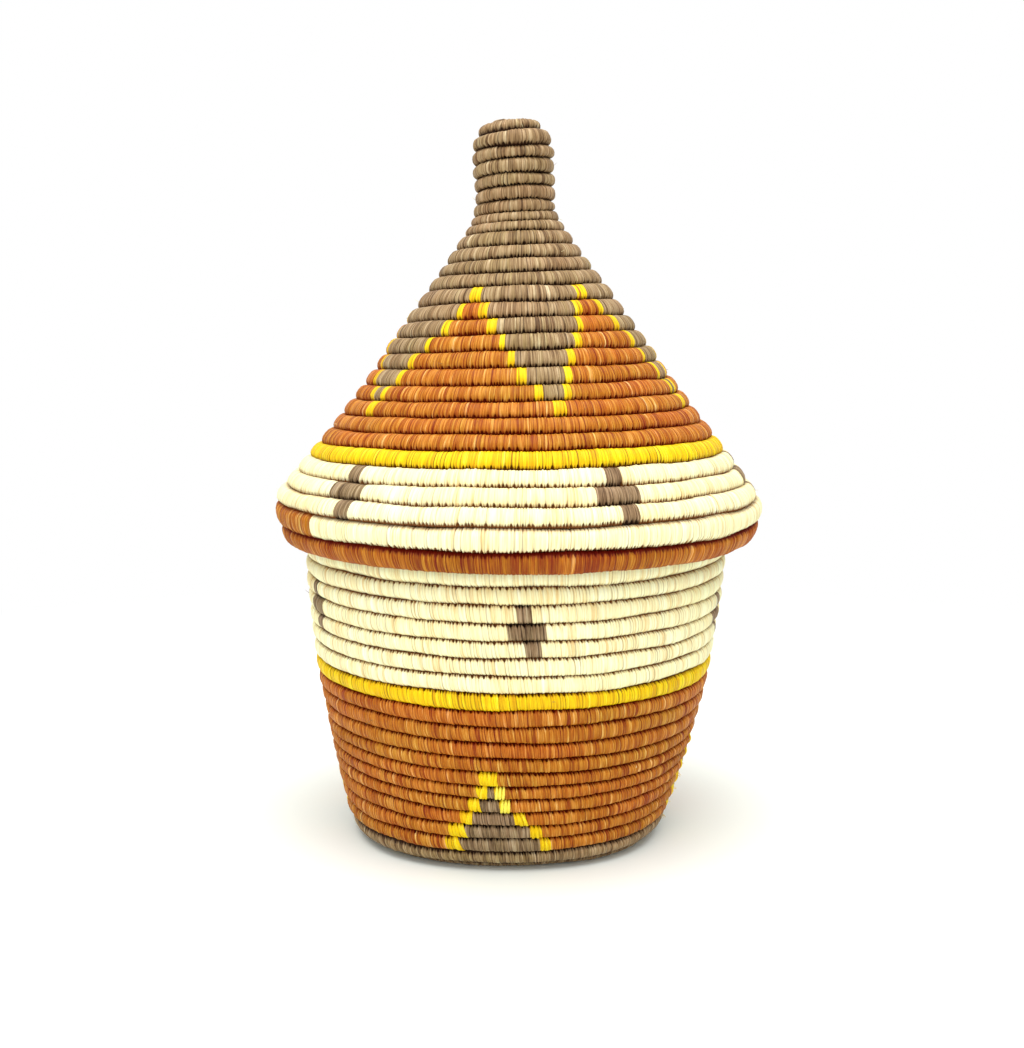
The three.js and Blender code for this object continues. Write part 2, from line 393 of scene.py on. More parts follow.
# Painted shade in the holes, the other notches, the lines between stitches and the grooves between rows:
# how dark it is there, and the part of a section or of a stitch's width that each of them takes up
HOLE_SHADES = (0.8, 1.0)
NOTCH_SHADES = (0.05, 0.4)
HOLE_STRENGTH = 1.1
HOLE_REACH = (0.58, 0.95)
HOLE_FADE = 0.8
LINE_SHADE = 0.85
LINE_FADE = 1.5
CREAM_LINES = 0.6
SLOPE_SHADE = 0.08
SLOPE_REACH = (0.45, 1.0)
SEWN_SHADE = 0.75
SEWN_SHADE_REACH = (0.8, 1.0)
FREE_SHADE = 0.4

# The tone of a stitch, from 0 for deep to 1 for pale. A few stitches stand out.
TONE_SPREAD = 0.08
TONE_LIMITS = (0.25, 0.68)
PALE_SHARE = 0.01
PALE_TONE = 0.76
DARK_SHARE = 0.02
DARK_TONE = 0.2
BATCH_MIDDLE = 0.5
BATCH_SPREAD = 0.1
# The hem is sewn on its other side, has weaker holes and gets painted shade in front, where it faces down
HEM_HOLES = 0.5
HEM_SHADE_AZIMUTHS = (-34, -17, 20, 36)
HEM_SHADES = (0, 0.17, 0.17, 0)


class StitchedTurn:
    """One turn of the coil, wrapped in stitches that each stand proud of the gaps between them."""

    def __init__(self, body, first_turn, last_turn, slant, seed, is_hem):
        self.path = PATHS[body]
        self.body = body
        self.is_hem = is_hem
        self.random = np.random.default_rng(seed)
        self.place_stitches(first_turn, last_turn)
        self.place_rings()
        self.vary_stitches(slant)
        self.vary_gaps()
        # Stitches are sewn down on the side of the next row, except on the hem
        self.sewn_side = -1 if is_hem else 1
        self.sewn_across = ACROSS * self.sewn_side
        self.sewn = smooth(*SEWN_REACH, self.sewn_across)
        self.free = smooth(*FREE_REACH, -self.sewn_across)

    def place_stitches(self, first_turn, last_turn):
        """Where each stitch starts. Its width is measured along the coil, whatever the radius there."""
        length = self.path.length(last_turn) - self.path.length(first_turn)
        self.count = max(int(round(length / STITCH_WIDTH)), FEWEST_STITCHES)
        widths = self.random.uniform(*WIDTH_SHARES, self.count)
        edges = np.concatenate([[0], np.cumsum(widths)]) / widths.sum()
        turns = np.linspace(first_turn, last_turn, TURN_SAMPLES)
        lengths = self.path.length(turns)
        self.starts = np.interp(lengths[0] + edges * length, lengths, turns)
        self.middles = (self.starts[:-1] + self.starts[1:]) / 2

    def place_rings(self):
        """For each ring its stitch, its share of the stitch's width, its relief and the gap beside it."""
        self.stitch = np.append(np.repeat(np.arange(self.count), len(RING_SHARES)), self.count - 1)
        self.share = np.append(np.tile(RING_SHARES, self.count), 1.0)
        self.relief = np.append(np.tile(RING_RELIEFS, self.count), 0.0)[:, None]
        self.gap = self.stitch + (self.share > MIDDLE_SHARE)
        self.on_gap = self.share == 0

    def per_ring(self, values):
        """A value of each stitch on its own rings, and the mean of two stitches on their gap."""
        before = np.maximum(self.stitch - 1, 0)
        own = values[self.stitch]
        return np.where(self.on_gap, (own + values[before]) / 2, own)[:, None]

    def per_gap(self, hole_range, notch_range):
        """A random value of each gap, from one range at the holes and from another one elsewhere."""
        at_holes = self.random.uniform(*hole_range, self.count + 1)
        elsewhere = self.random.uniform(*notch_range, self.count + 1)
        return np.where(self.is_hole, at_holes, elsewhere)

    def vary_stitches(self, slant):
        """How each stitch differs from the others in height, lean and bow."""
        self.proud = self.per_ring(self.random.normal(0, PROUD_SPREAD, self.count))
        self.slants = self.per_ring(slant + self.random.normal(0, SLANT_SPREAD, self.count))
        self.bows = self.per_ring(self.random.normal(0, BOW_SPREAD, self.count))

    def vary_gaps(self):
        """Two stitches share each hole, so every other notch is deep, with a few exceptions."""
        gaps = self.count + 1
        self.gap_depths = self.random.uniform(*GAP_DEPTHS_MM, gaps) * MM
        is_odd = self.random.random(gaps) < ODD_HOLE_SHARE
        self.is_hole = (np.arange(gaps) % STITCHES_PER_HOLE == 0) ^ is_odd
        self.notch_depths = self.per_gap(HOLE_DEPTHS_MM, NOTCH_DEPTHS_MM) * MM
        if self.is_hem:
            self.notch_depths *= HEM_HOLES
        # Painted shade of each hole and notch, and of each line between stitches
        self.hole_shades = self.per_gap(HOLE_SHADES, NOTCH_SHADES)
        self.line_shades = LINE_SHADE * self.random.random(gaps) ** 2

    def point_turns(self):
        """Where each point is, in turns. A stitch narrows where it is sewn down, away from the hole."""
        is_hole = self.is_hole.astype(float)
        pulled_to = MIDDLE_SHARE + HOLE_PULL * (is_hole[:-1] - is_hole[1:])
        inside = ~self.on_gap & (self.share < 1)
        share = self.share[:, None]
        narrowed = share + (pulled_to[self.stitch][:, None] - share) * NARROWING * self.sewn
        start = self.starts[self.stitch][:, None]
        end = self.starts[self.stitch + 1][:, None]
        return start + np.where(inside[:, None], narrowed, share) * (end - start)

    def section_scale(self, along, least_half):
        """How much larger or smaller than the plain section it is at each point, by stitches and gaps."""
        notched = self.sewn * smooth(*NOTCH_REACH, np.abs(OUTWARD))
        notch = self.notch_depths[self.gap][:, None] * notched
        depth = (1 - self.relief) * (self.gap_depths[self.gap][:, None] + notch)
        lift = self.proud * self.relief + THICKNESS_WANDERS[self.body].at(along)
        size = np.hypot(UNIT_ACROSS, UNIT_OUTWARD)
        inset = (lift - depth) / np.maximum(size * least_half, THINNEST)
        return np.maximum(1 + inset, LEAST_SCALE)

    def surface(self):
        """The points of every ring, and how far along the coil each point is."""
        turn = self.point_turns()
        side = self.path.side
        radius, height, across_r, across_z, half_width, half_thick = self.path.at(turn)
        along = self.path.length(turn)
        edge = EDGE_WANDERS[self.body].at(along)
        next_edge = EDGE_WANDERS[self.body].at(self.path.length(turn + 1))
        half_width = half_width * ROW_OVERLAP + (next_edge - edge) / 2
        scale = self.section_scale(along, np.minimum(half_width, half_thick))
        tip = TIP_LENGTH * self.relief * self.free * self.sewn_side
        across_place = UNIT_ACROSS * half_width * scale - tip + (next_edge + edge) / 2
        outward_place = UNIT_OUTWARD * half_thick * scale
        point_radius = radius + across_r * across_place + side * across_z * outward_place
        point_height = height + across_z * across_place - side * across_r * outward_place
        skew = self.slants * ACROSS + self.bows * OUTWARD
        angle = BACK + side * (2 * math.pi * turn + skew / np.maximum(radius, SKEW_RADIUS))
        points = settle(round_axis(point_radius, angle, point_height))
        points[..., 2] = np.maximum(points[..., 2], 0.0)
        return points, along

    def shades(self, colours):
        """Painted shade at each point: in holes, in lines between stitches and in grooves between rows."""
        beside_gap = 1 - self.relief
        hole = smooth(*HOLE_REACH, self.sewn_across) * beside_gap ** HOLE_FADE
        hole = hole * self.hole_shades[self.gap][:, None]
        if self.is_hem:
            hole *= HEM_HOLES
        line_shades = self.line_shades[self.gap] * np.where(colours[self.stitch] == CREAM, CREAM_LINES, 1)
        line = beside_gap ** LINE_FADE * line_shades[:, None]
        slope = SLOPE_SHADE * smooth(*SLOPE_REACH, np.abs(ACROSS))
        sewn = SEWN_SHADE * smooth(*SEWN_SHADE_REACH, self.sewn_across)
        return np.clip(line + HOLE_STRENGTH * hole + (slope + sewn + FREE_SHADE * self.free), 0, 1)

    def tones(self, tone, azimuth):
        """The tone of each stitch, of which a few are pale or dark. The hem's stitches get painted shade in
        front.
        """
        tones = self.random.normal(tone, TONE_SPREAD, self.count).clip(*TONE_LIMITS)
        if self.is_hem:
            tones -= np.interp(azimuth, HEM_SHADE_AZIMUTHS, HEM_SHADES)
        odd = self.random.random(self.count)
        tones[odd > 1 - PALE_SHARE] = PALE_TONE
        tones[odd < DARK_SHARE] = DARK_TONE
        return tones

    def batches(self):
        """The batch of dye of each stitch, which drifts along the coil."""
        drift = BATCH_WANDERS[self.body].at(self.path.length(self.middles))
        return BATCH_MIDDLE + drift + self.random.normal(0, BATCH_SPREAD, self.count)


def round_axis(radius, angle, height):
    """Points at a radius, an angle and a height."""
    return np.stack([radius * np.cos(angle), radius * np.sin(angle), height], axis=-1)


def tube_faces(rings, around):
    """Quads round a tube, and triangles to the middle of each end, whose points come last."""
    ring = np.arange(rings - 1)[:, None]
    place = np.arange(around)
    following = (place + 1) % around
    quads = np.stack([ring * around + place, ring * around + following,
                      (ring + 1) * around + following, (ring + 1) * around + place], axis=-1)
    first_middle = np.full(around, rings * around)
    last_ring = (rings - 1) * around
    first_cap = np.column_stack([first_middle, following, place])
    last_cap = np.column_stack([first_middle + 1, last_ring + place, last_ring + following])
    return quads.reshape(-1, 4), np.stack([first_cap, last_cap], axis=1).reshape(-1, 3)


def tube_mesh(name, points, shade, lay, stitch_of_ring, colours, tones, batches):
    """A closed tube through rings of points, with what its material reads. The lay is the place along the
    coil, across the row and outwards, and the fibres follow it.
    """
    rings, around = points.shape[:2]
    quads, caps = tube_faces(rings, around)
    vertices = np.concatenate([points.reshape(-1, 3), [points[0].mean(0), points[-1].mean(0)]])
    corner = vertices[quads[:, 0]]
    normals = np.cross(vertices[quads[:, 1]] - corner, vertices[quads[:, 3]] - corner)
    if (normals * (corner - np.repeat(points[:-1].mean(1), around, axis=0))).sum() < 0:
        quads, caps = quads[:, ::-1], caps[:, ::-1]

    mesh = bpy.data.meshes.new(name)
    mesh.vertices.add(len(vertices))
    mesh.vertices.foreach_set("co", vertices.astype(np.float32).ravel())
    corners = np.concatenate([quads.ravel(), caps.ravel()])
    mesh.loops.add(len(corners))
    mesh.loops.foreach_set("vertex_index", corners.astype(np.int32))
    mesh.polygons.add(len(quads) + len(caps))
    starts = np.concatenate([np.arange(len(quads)) * 4, len(quads) * 4 + np.arange(len(caps)) * 3])
    mesh.polygons.foreach_set("loop_start", starts.astype(np.int32))
    stitch_of_cap = np.tile([0, stitch_of_ring[-1]], around)
    stitch_of_face = np.concatenate([np.repeat(stitch_of_ring, around), stitch_of_cap])
    used, slots = np.unique(colours[stitch_of_face], return_inverse=True)
    for colour in used:
        mesh.materials.append(RAFFIA[colour])
    mesh.polygons.foreach_set("material_index", slots.astype(np.int32))
    mesh.update(calc_edges=True)
    mesh.polygons.foreach_set("use_smooth", np.ones(len(mesh.polygons), bool))
    add_attribute(mesh, "tone", "FACE", tones[stitch_of_face])
    add_attribute(mesh, "batch", "FACE", batches[stitch_of_face])
    # The middles of the two ends get full painted shade
    add_attribute(mesh, "shade", "POINT", np.concatenate([shade.ravel(), [1, 1]]))
    lays = np.concatenate([lay.reshape(-1, 3), [lay[0].mean(0), lay[-1].mean(0)]])
    vector = mesh.attributes.new("lay", "FLOAT_VECTOR", "POINT")
    vector.data.foreach_set("vector", lays.astype(np.float32).ravel())
    piece = bpy.data.objects.new(name, mesh)
    bpy.context.scene.collection.objects.link(piece)
    return piece


def add_attribute(mesh, name, domain, values):
    attribute = mesh.attributes.new(name, "FLOAT", domain)
    attribute.data.foreach_set("value", np.asarray(values, np.float32))


# Materials

def linear(red, green, blue):
    """An sRGB colour from 0 to 255 as linear values."""
    def channel(value):
        value = value / 255
        return value / 12.92 if value <= 0.04045 else ((value + 0.055) / 1.055) ** 2.4
    return (channel(red), channel(green), channel(blue), 1)


WHITE = (1, 1, 1, 1)


class NodeBuilder:
    """Short calls that add shader nodes to a material or a world and link them."""

    def __init__(self, owner):
        owner.use_nodes = True
        self.tree = owner.node_tree
        self.tree.nodes.clear()

    def node(self, kind, inputs=None, **settings):
        made = self.tree.nodes.new(kind)
        for key, value in settings.items():
            setattr(made, key, value)
        for key, value in (inputs or {}).items():
            if isinstance(value, bpy.types.NodeSocket):
                self.tree.links.new(value, made.inputs[key])
            else:
                made.inputs[key].default_value = value
        return made

    def attribute(self, name, output="Fac"):
        return self.node("ShaderNodeAttribute", attribute_name=name).outputs[output]

    def maths(self, operation, first, second=0.0, third=0.0):
        inputs = {0: first, 1: second, 2: third}
        return self.node("ShaderNodeMath", inputs, operation=operation).outputs[0]

    def mix(self, share, first, second, blend="MIX"):
        inputs = {0: share, 6: first, 7: second}
        return self.node("ShaderNodeMix", inputs, data_type="RGBA", blend_type=blend).outputs[2]

    def remap(self, value, from_range, to_range):
        inputs = {0: value, 1: from_range[0], 2: from_range[1], 3: to_range[0], 4: to_range[1]}
        return self.node("ShaderNodeMapRange", inputs).outputs[0]

    def ramp(self, value, positions, colours):
        made = self.node("ShaderNodeValToRGB", {"Fac": value})
        elements = made.color_ramp.elements
        while len(elements) < len(positions):
            elements.new(1)
        for element, position, colour in zip(elements, positions, colours):
            element.position = position
            element.color = colour
        return made.outputs["Color"]

    def noise(self, vector, stretch, scale, detail, roughness):
        stretched = self.node("ShaderNodeVectorMath", {0: vector, 1: stretch}, operation="MULTIPLY")
        inputs = {"Vector": stretched.outputs[0], "Scale": scale, "Detail": detail, "Roughness": roughness}
        return self.node("ShaderNodeTexNoise", inputs).outputs["Fac"]

    def seen_by_camera(self):
        """1 where the camera sees it, also in a reflection or through glass, 0 where it lights things."""
        path = self.node("ShaderNodeLightPath").outputs
        reflected_or_through = self.maths("MAXIMUM", path["Is Glossy Ray"], path["Is Transmission Ray"])
        return self.maths("MAXIMUM", path["Is Camera Ray"], reflected_or_through)


# Noise along the stitches: how the coordinates are stretched, the scale, the detail and the roughness
FIBRE_NOISE = ((1, 0.12, 0.12), 2.6, 3, 0.7)
STRAND_NOISE = ((1, 0.3, 0.3), 1.05, 1, 0.5)
BLOTCH_NOISE = ((1, 2.2, 2.2), 0.3, 2, 0.5)
NOISE_MIDDLE = 0.5
# How much each noise changes the tone, and the strand's part in the relief
FIBRE_WEIGHT = 1.6
STRAND_WEIGHT = 0.7
BLOTCH_WEIGHT = 0.35
STRAND_RELIEF = 1.6
RELIEF_STRENGTH = 0.8
RELIEF_DEPTH = 0.22 * MM
TONE_STOPS = (0.12, 0.45, 0.74, 0.95)
BATCH_STOPS = (0.1, 0.5, 0.9)
# Where painted shade starts, and how far it goes towards its dark colour
FIRST_SHADE = 0.04
MOST_PAINTED_SHADE = 0.95
ROUGHNESS_FIBRES = (0.3, 0.7)
ROUGHNESSES = (0.62, 0.42)
SHEEN = 0.18


def raffia_material(name, tones, warm, cool, painted_shade_colour, full_shade):
    """Dyed raffia: a tone for each stitch, batches of dye, fine fibres along each stitch, and painted shade
    in the gaps.
    """
    material = bpy.data.materials.new(name)
    nodes = NodeBuilder(material)
    lay = nodes.attribute("lay", "Vector")
    fibre = nodes.noise(lay, *FIBRE_NOISE)
    strand = nodes.noise(lay, *STRAND_NOISE)
    blotch = nodes.noise(lay, *BLOTCH_NOISE)
    tone = nodes.attribute("tone")
    for noise, weight in ((fibre, FIBRE_WEIGHT), (strand, STRAND_WEIGHT), (blotch, BLOTCH_WEIGHT)):
        tone = nodes.maths("MULTIPLY_ADD", nodes.maths("SUBTRACT", noise, NOISE_MIDDLE), weight, tone)
    colour = nodes.ramp(tone, TONE_STOPS, [linear(*colour) for colour in tones])
    tint = nodes.ramp(nodes.attribute("batch"), BATCH_STOPS, (linear(*warm), WHITE, linear(*cool)))
    colour = nodes.mix(1.0, colour, tint, "MULTIPLY")
    # Painted shade: the shade attribute mixes the colour towards a dark colour in gaps, holes and grooves
    painted_shade_share = nodes.remap(nodes.attribute("shade"), (FIRST_SHADE, full_shade), (0.0, MOST_PAINTED_SHADE))
    colour = nodes.mix(painted_shade_share, colour, linear(*painted_shade_colour))
    height = nodes.maths("MULTIPLY_ADD", strand, STRAND_RELIEF, fibre)
    relief = {"Height": height, "Strength": RELIEF_STRENGTH, "Distance": RELIEF_DEPTH}
    surface = nodes.node("ShaderNodeBsdfPrincipled", {
        "Base Color": colour,
        "Roughness": nodes.remap(fibre, ROUGHNESS_FIBRES, ROUGHNESSES),
        "Normal": nodes.node("ShaderNodeBump", relief).outputs[0],
        "Specular IOR Level": SHEEN})
    nodes.node("ShaderNodeOutputMaterial", {"Surface": surface.outputs[0]})
    return material


# Dyes, in the order of the colours' numbers. Tones go from deep to pale, warm and cool are what batches
# of dye are multiplied by, the last colour is painted shade in the gaps, holes and grooves between rows,
# and full_shade is where it is reached.
DYES = (
    {"name": "raffia_taupe", "tones": ((98, 70, 42), (153, 124, 85), (188, 161, 122), (224, 206, 166)),
     "warm": (255, 245, 243), "cool": (249, 253, 236), "painted_shade_colour": (42, 12, 2), "full_shade": 0.8},
    {"name": "raffia_orange", "tones": ((138, 54, 0), (183, 107, 14), (217, 149, 58), (244, 202, 132)),
     "warm": (255, 232, 232), "cool": (242, 255, 222), "painted_shade_colour": (106, 6, 0), "full_shade": 0.7},
    {"name": "raffia_yellow", "tones": ((214, 156, 0), (240, 197, 0), (250, 222, 6), (253, 240, 96)),
     "warm": (255, 244, 238), "cool": (252, 255, 240), "painted_shade_colour": (96, 40, 0), "full_shade": 0.8},
    {"name": "raffia_cream", "tones": ((236, 208, 150), (252, 244, 194), (255, 253, 213), (255, 255, 232)),
     "warm": (255, 247, 232), "cool": (254, 255, 246), "painted_shade_colour": (124, 62, 6), "full_shade": 0.75},
    {"name": "raffia_umber", "tones": ((80, 57, 36), (142, 115, 82), (176, 150, 118), (208, 190, 158)),
     "warm": (255, 245, 243), "cool": (249, 253, 240), "painted_shade_colour": (32, 8, 2), "full_shade": 0.8},
)
RAFFIA = [raffia_material(**dye) for dye in DYES]

# The coils. Both run from the middle outwards, the basket's from below and the lid's from above.
BASE_ROWS = [f"base_row_{i:02d}" for i in range(1, 7)]
WALL_ROWS = [f"wall_row_{i:02d}" for i in range(1, 24)]
LID_ROWS = [f"lid_row_{i:02d}" for i in range(1, 30)]
KNOB_ROWS = 7
PATHS = {
    "basket": CoilPath("base_start", BASE_ROWS + WALL_ROWS, 1),
    "lid": CoilPath("lid_start", LID_ROWS, -1),
}
BASKET_SLANT = -0.65 * MM
LID_SLANT = 0.08 * MM
HEM_SLANT = -0.6 * MM
TONE = 0.46
# The hem's stitches are a lower tone: painted shade, as the hem faces down
HEM_TONE = 0.40
BASE_SEED = 100
WALL_SEED = 110
LID_SEED = 200


def wanders(spacing, amount, seed):
    """A wander for each coil."""
    return {body: Wander(path.lengths[-1], spacing, amount, seed) for body, path in PATHS.items()}


# Slow changes along each coil, of its edges, its thickness and its batch of dye
EDGE_WANDERS = wanders(24 * MM, 0.24 * MM, 3)
THICKNESS_WANDERS = wanders(17 * MM, 0.14 * MM, 5)
BATCH_WANDERS = wanders(30 * MM, 0.2, 7)
# The knob is wound less evenly than the rest
KNOB_UNEVENNESS = 2.2
EDGE_WANDERS["lid"].strengthen(PATHS["lid"].length(KNOB_ROWS), KNOB_UNEVENNESS)
THICKNESS_WANDERS["lid"].strengthen(PATHS["lid"].length(KNOB_ROWS), KNOB_UNEVENNESS)


def weave(node, body, first_turn, last_turn, row_colours, slant, seed, tone=TONE, is_hem=False):
    """Replaces a CAD turn by the same turn in stitches."""
    turn = StitchedTurn(body, first_turn, last_turn, slant, seed, is_hem)
    azimuth = azimuths(turn.middles, turn.path.side)
    colours = row_colours(azimuth, turn.path.outer_radius(turn.middles))
    points, along = turn.surface()
    lay = np.stack(np.broadcast_arrays(along / MM, ACROSS, OUTWARD), axis=-1)
    tones = turn.tones(tone, azimuth)
    batches = turn.batches()
    piece = tube_mesh("raffia_" + node, points, turn.shades(colours), lay, turn.stitch[:-1], colours,
                      tones, batches)
    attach(piece, body)
    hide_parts(node)


def weave_basket():
    weave("base_start", "basket", PATHS["basket"].turns[0], 0, all_taupe, BASKET_SLANT, BASE_SEED)
    for row, node in enumerate(BASE_ROWS, 1):
        weave(node, "basket", row - 1, row, all_taupe, BASKET_SLANT, BASE_SEED + row)
    for row, node in enumerate(WALL_ROWS, 1):
        turn = len(BASE_ROWS) + row
        weave(node, "basket", turn - 1, turn, partial(wall_colours, row), BASKET_SLANT, WALL_SEED + row)


def weave_lid():
    weave("lid_start", "lid", PATHS["lid"].turns[0], 0, all_taupe, LID_SLANT, LID_SEED)
    for row, node in enumerate(LID_ROWS, 1):
        is_hem = row == len(LID_ROWS)
        slant, tone = (HEM_SLANT, HEM_TONE) if is_hem else (LID_SLANT, TONE)
        weave(node, "lid", row - 1, row, partial(lid_colours, row), slant, LID_SEED + row, tone, is_hem)


# Loose stitches on the front triangle: wall row, places across the triangle's middle at the top and the
# bottom of the stitch, and its width, in millimetres
YELLOW_STITCHES = (
    (7, -4.9, -2.4, 1.7), (7, -3.2, -1.3, 1.9), (7, -1.3, -0.2, 1.8), (7, 0.6, 0.7, 1.8),
    (7, 2.1, 1.4, 1.4),
    (6, -3.2, -5.3, 1.9), (6, -2.8, -3.8, 1.8), (6, -2.4, -2.4, 1.5),
    (5, -7.4, -7.2, 1.9), (5, -6.3, -4.3, 1.7),
    (4, -9.4, -11.6, 1.8), (4, -9.2, -10.4, 2.0), (4, -8.9, -9.2, 1.5), (4, 11.6, 14.9, 2.1),
    (4, 13.4, 17.4, 1.7),
    (3, -16.7, -14.0, 2.0), (3, -15.0, -12.0, 2.1), (3, -13.6, -10.7, 1.6), (3, 18.2, 19.9, 1.5),
    (3, 20.2, 22.4, 1.6),
    (2, -17.2, -14.6, 2.1), (2, -16.6, -12.6, 2.0), (2, 23.6, 24.3, 1.5), (2, 24.9, 26.8, 1.5),
)
PALE_STITCHES = (
    (6, 2.5, 2.2, 1.6), (6, 4.1, 3.9, 1.5), (6, 5.6, 5.4, 1.4),
    (5, 5.1, 4.7, 1.5), (5, 6.6, 6.4, 1.6), (5, 8.0, 7.9, 1.4),
)
# The same on the left edge of the triangle at the right, where they lie on the outline
EDGE_STITCHES = (
    (7, -5.6, -4.2, 1.7), (6, -5.2, -6.4, 1.7), (5, -7.6, -6.0, 1.7), (4, -7.0, -8.2, 1.6),
    (3, -8.6, -7.0, 1.6),
)
LOOSE_SECTIONS = 11
LOOSE_ROUND = 8
LOOSE_TOP_DEG = 14
LOOSE_BOTTOM_DEG = 168
LOOSE_THICKNESS = 0.7 * MM
LOOSE_LIFT = 0.25 * MM
EDGE_LIFT = 0.3 * MM
LOOSE_BEND_MM = 0.25
# How pointed the ends are, and how full the strand is between them
LOOSE_END_SHARE = 0.06
LOOSE_FULLNESS = 0.6
# Painted shade, darker towards the pointed ends of a strand
LOOSE_END_SHADE = 0.35
# How fine the fibres of a strand are, next to those of a stitch
LOOSE_FINENESS = 2
LOOSE_YELLOW_TONES = (0.45, 0.55, 0.65)
LOOSE_PALE_TONE = 0.98
YELLOW_SEED = 300
PALE_SEED = 340
EDGE_SEED = 360


def loose_stitch(name, apex, lift, tone, seed, row, top, bottom, width):
    """A leaf-shaped strand that lies over a row from its top to its bottom, pointed at both ends."""
    random = np.random.default_rng(seed)
    share = np.linspace(0, 1, LOOSE_SECTIONS)
    round_angle = np.linspace(0, 2 * math.pi, LOOSE_ROUND, endpoint=False)
    point_share = LOOSE_END_SHARE + (1 - 2 * LOOSE_END_SHARE) * share
    fullness = np.sin(math.pi * point_share)[:, None] ** LOOSE_FULLNESS
    section = np.radians(LOOSE_TOP_DEG + (LOOSE_BOTTOM_DEG - LOOSE_TOP_DEG) * share)[:, None]
    bend = random.uniform(-LOOSE_BEND_MM, LOOSE_BEND_MM) * MM * np.sin(math.pi * share)
    middle = top * MM + (bottom - top) * MM * share + bend
    sideways = middle[:, None] + width * MM / 2 * fullness * np.cos(round_angle)
    outwards = lift + LOOSE_THICKNESS / 2 * fullness * np.sin(round_angle)
    path = PATHS["basket"]
    apex_turn = len(BASE_ROWS) + row - 1 + (apex + 180) / 360
    turn = apex_turn + sideways / path.outer_radius(apex_turn) / (2 * math.pi)
    radius, height, across_r, across_z, half_width, half_thick = path.at(turn)
    across = np.cos(section) * (half_width + outwards)
    outward = np.sin(section) ** SECTION_POWER * (half_thick + outwards)
    point_radius = radius + across_r * across + across_z * outward
    point_height = height + across_z * across - across_r * outward
    points = settle(round_axis(point_radius, BACK + 2 * math.pi * turn, point_height))
    shade = LOOSE_END_SHADE * (1 - fullness) + np.zeros_like(turn)
    lay = [sideways / MM * LOOSE_FINENESS, np.cos(section), outwards / MM]
    lay = np.stack(np.broadcast_arrays(*lay), axis=-1)
    plain_piece(name, "basket", YELLOW, tone, points, shade, lay)


def plain_piece(name, body, colour, tone, points, shade, lay):
    """A tube in one colour and one tone, which rides on a body."""
    one_strand = np.zeros(len(points) - 1, int)
    piece = tube_mesh(name, points, shade, lay, one_strand, np.array([colour]), np.array([tone]),
                      np.array([BATCH_MIDDLE]))
    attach(piece, body)


# Short fibres that have come loose: height, azimuth in degrees, length in millimetres, upward share
STRAY_FIBRES = {
    "lid": (
        (333, 84, 2.2, 0.5), (306, 88, 2.6, -0.3), (318, -88, 1.8, 0.6), (351, 20, 1.6, 0.8),
        (268, -86, 3.2, 0.7), (262, -80, 2.4, 0.2), (243, 70, 2.6, 0.4), (229, 87, 2.2, 0.6),
        (205, -75, 2.8, 0.5), (176, 84, 2.4, 0.3), (212, 20, 2.6, 0.5), (238, -30, 3.0, -0.4),
        (287, 40, 2.2, 0.4), (166, -88, 2.6, 0.4),
    ),
    "basket": (
        (118, -84, 2.6, 0.4), (96, 86, 2.2, 0.3), (62, -70, 3.0, -0.3), (47, 40, 2.4, 0.5),
        (33, -88, 2.2, 0.4), (84, 10, 2.0, 0.6), (70, -42, 3.4, -0.5), (21, 62, 2.6, 0.3),
        (109, 55, 2.2, 0.5),
    ),
}
# Yellow ones at the left edge of the triangle at the right
EDGE_FIBRES = (
    (42, 76, 1.6, 0.3), (35, 77, 1.8, -0.3), (30, 75, 2.3, 0.3), (29, 77, 2.6, -0.2), (28, 79, 2.4, -0.6),
    (31, 78, 2.1, 0.6), (20, 76, 2.3, -0.3), (19, 78, 2.4, -0.7), (21, 75, 2.0, 0.2), (14, 76, 1.8, 0.2),
    (11, 75, 2.2, 0.2), (10, 77, 2.4, -0.4), (9, 75, 2.1, -0.6),
)
FIBRE_RADIUS = 0.14 * MM
FIBRE_TAPER = 0.6
FIBRE_SECTIONS = 6
FIBRE_ROUND = 4
FIBRE_SIDEWAYS = 0.8
FIBRE_CURL = 0.5
FIBRE_ROOT_SHARE = 0.9
FIBRE_TONE = 0.4
# How many of them have the second of their two dyes
SECOND_DYE_SHARE = 0.5
# How fine and how wide the search for the place of a fibre is
SEARCH_STEP_TURNS = 0.01
SEARCH_DEG = 4
# A direction that no fibre has
ASLANT = (0.3, 0.2, 1.0)
STRAY_SEED = 400
EDGE_FIBRE_SEED = 440


